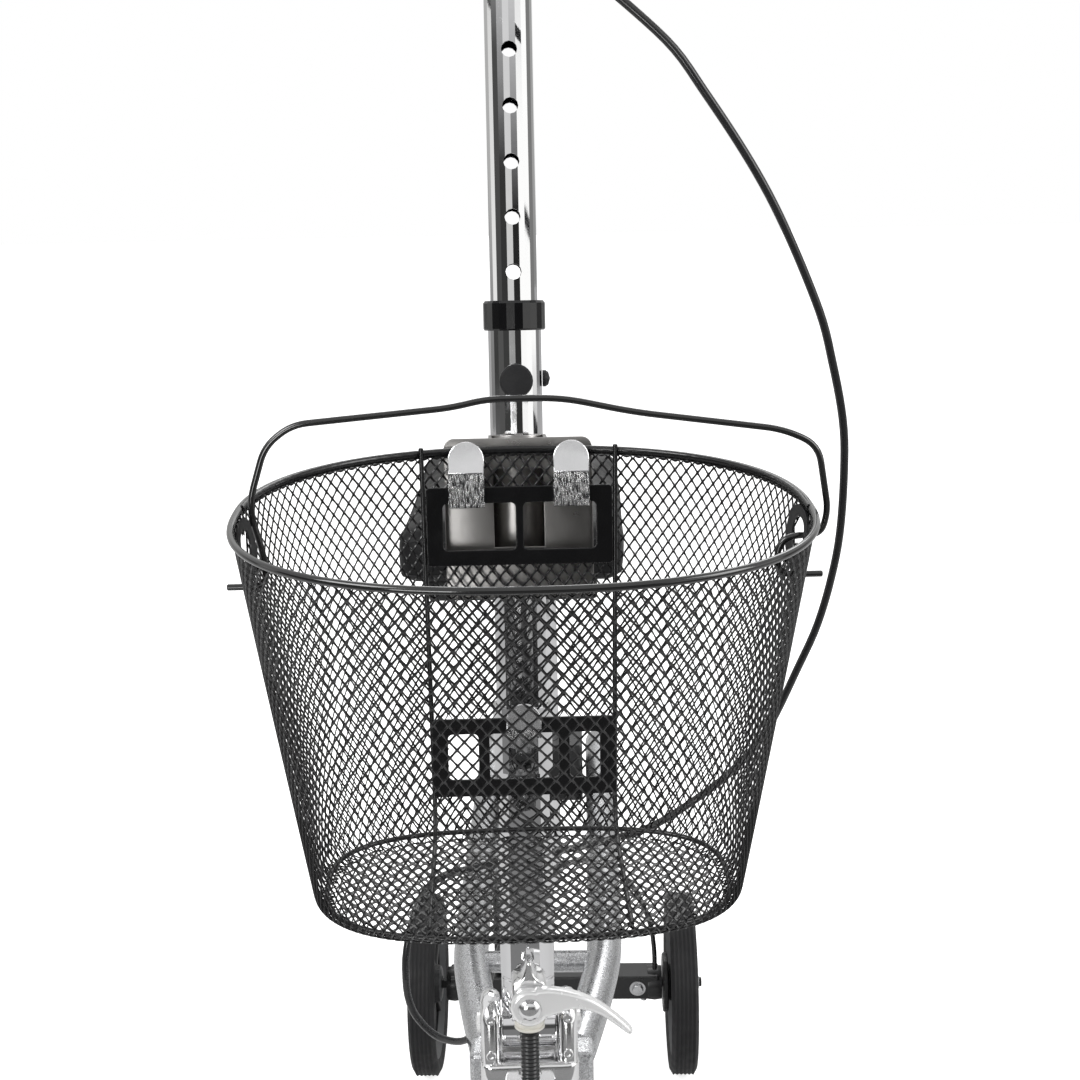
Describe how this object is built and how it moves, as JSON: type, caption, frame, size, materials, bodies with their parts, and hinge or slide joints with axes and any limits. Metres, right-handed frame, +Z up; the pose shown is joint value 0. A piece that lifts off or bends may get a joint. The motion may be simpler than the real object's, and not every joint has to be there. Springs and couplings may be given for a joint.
{
  "type": "knee scooter",
  "caption": "Steerable knee scooter with a folding, height-adjustable column, hand brake and a lift-off wire basket hung on hooks.",
  "frame": {"origin": "on the floor under the middle of the bounding box", "axes": "+Z up; the scooter faces -Y; +X is the rider's left, which is the right side seen from the front"},
  "size_m": [0.5215, 0.9644, 1.1408],
  "materials": {
    "chrome": "bright chrome plate",
    "silver_paint": "silver metallic paint with a fine sparkle",
    "cast_aluminium": "polished cast aluminium",
    "black_steel": "satin black powder coat",
    "black_plastic": "moulded black plastic",
    "tyre_rubber": "solid black tyre with ribs",
    "grip_rubber": "soft black grip",
    "pad_vinyl": "black upholstery vinyl over foam",
    "cable_jacket": "smooth black cable jacket"
  },
  "bodies": {
    "frame": {"head_tube": "silver_paint", "head_lug": "silver_paint", "rail_right": "silver_paint", "rail_left": "silver_paint", "cross_tube": "silver_paint", "rear_beam": "black_steel", "post_socket": "black_steel", "brake_drum": "black_steel", "brake_cable": "cable_jacket"},
    "steerer": {"fold_clevis": "chrome", "fold_pin": "cast_aluminium", "steerer_tube": "chrome", "front_fork": "silver_paint"},
    "column": {"outer_tube": "chrome", "lower_sleeve": "chrome", "column_foot": "chrome", "collar": "black_plastic", "knob_boss": "chrome", "side_screw_cap": "black_plastic", "latch_yoke": "chrome", "cam_pin": "cast_aluminium", "latch_ring": "cast_aluminium", "latch_rod": "black_steel", "bracket_plate": "chrome", "upper_hook_right": "chrome", "upper_hook_left": "chrome", "lower_hook": "chrome", "lower_clamp": "chrome"},
    "clamp_knob": {"height_knob": "black_plastic"},
    "latch_lever": {"cam_lever": "cast_aluminium"},
    "handlebar_assembly": {"inner_tube": "chrome", "stem_clamp": "black_plastic", "handlebar": "black_steel", "grip_right": "grip_rubber", "grip_left": "grip_rubber", "lever_perch": "black_plastic"},
    "brake_hand_lever": {"brake_lever": "cast_aluminium"},
    "basket": {"basket_mesh": "black_steel", "rim_wire": "black_steel", "floor_ring": "black_steel", "rib_right": "black_steel", "rib_left": "black_steel", "upper_plate": "black_plastic", "lower_plate": "black_plastic", "eyelet_right": "black_steel", "eyelet_left": "black_steel"},
    "bail": {"bail_handle": "black_steel"},
    "knee_rest": {"pad_post": "chrome", "pad_plate": "black_steel", "pad_right": "pad_vinyl", "pad_left": "pad_vinyl"},
    "seat_knob": {"post_knob": "black_plastic"},
    "front_right_wheel": {"front_right_wheel_tyre": "tyre_rubber", "front_right_wheel_core": "black_plastic"},
    "front_left_wheel": {"front_left_wheel_tyre": "tyre_rubber", "front_left_wheel_core": "black_plastic"},
    "rear_right_wheel": {"rear_right_wheel_tyre": "tyre_rubber", "rear_right_wheel_core": "black_plastic"},
    "rear_left_wheel": {"rear_left_wheel_tyre": "tyre_rubber", "rear_left_wheel_core": "black_plastic"}
  },
  "joints": [
    {"name": "steering", "type": "hinge", "parent": "frame", "child": "steerer", "pos_m": [0.0015, -0.2366, 0.473], "axis": [0, 0.1478, 0.989], "range_deg": [-40, 40], "deforming": ["brake_cable"]},
    {"name": "column_fold", "type": "hinge", "parent": "steerer", "child": "column", "pos_m": [0.0015, -0.23837, 0.46113], "axis": [-0.9983, -0.0569, 0.0085], "range_deg": [0, 40]},
    {"name": "bar_height", "type": "slide", "parent": "column", "child": "handlebar_assembly", "axis": [0, 0.1478, 0.989], "range_m": [-0.155, 0.0316]},
    {"name": "clamp_knob_turn", "type": "hinge", "parent": "column", "child": "clamp_knob", "pos_m": [0.00311, -0.20572, 0.86872], "axis": [0.0576, -0.9874, 0.1476], "range_deg": [0, 360]},
    {"name": "latch_lever_open", "type": "hinge", "parent": "column", "child": "latch_lever", "pos_m": [0.00409, -0.27837, 0.49744], "axis": [0.0576, -0.9874, 0.1476], "range_deg": [0, 110]},
    {"name": "brake_squeeze", "type": "hinge", "parent": "handlebar_assembly", "child": "brake_hand_lever", "pos_m": [-0.12247, -0.17816, 1.12654], "axis": [0, -0.1478, -0.989], "range_deg": [0, 18], "stiffness_Nm_per_rad": 1.5, "springref_deg": -11.46},
    {"name": "basket_lift", "type": "slide", "parent": "column", "child": "basket", "axis": [0, 0.1478, 0.989], "range_m": [0, 0.024]},
    {"name": "bail_tilt", "type": "hinge", "parent": "basket", "child": "bail", "pos_m": [0.01064, -0.34913, 0.79296], "axis": [0.9983, 0.0569, -0.0085], "range_deg": [-25, 25]},
    {"name": "pad_height", "type": "slide", "parent": "frame", "child": "knee_rest", "axis": [0, 0, 1], "range_m": [-0.1, 0]},
    {"name": "seat_knob_turn", "type": "hinge", "parent": "frame", "child": "seat_knob", "pos_m": [0.0015, 0.3134, 0.405], "axis": [0, 1, 0], "range_deg": [0, 360]},
    {"name": "front_right_wheel_spin", "type": "hinge", "parent": "steerer", "child": "front_right_wheel", "pos_m": [-0.1235, -0.29309, 0.095], "axis": [1, 0, 0], "continuous": true},
    {"name": "front_left_wheel_spin", "type": "hinge", "parent": "steerer", "child": "front_left_wheel", "pos_m": [0.1265, -0.29309, 0.095], "axis": [1, 0, 0], "continuous": true},
    {"name": "rear_right_wheel_spin", "type": "hinge", "parent": "frame", "child": "rear_right_wheel", "pos_m": [-0.134, 0.3874, 0.095], "axis": [1, 0, 0], "continuous": true},
    {"name": "rear_left_wheel_spin", "type": "hinge", "parent": "frame", "child": "rear_left_wheel", "pos_m": [0.137, 0.3874, 0.095], "axis": [1, 0, 0], "continuous": true}
  ]
}
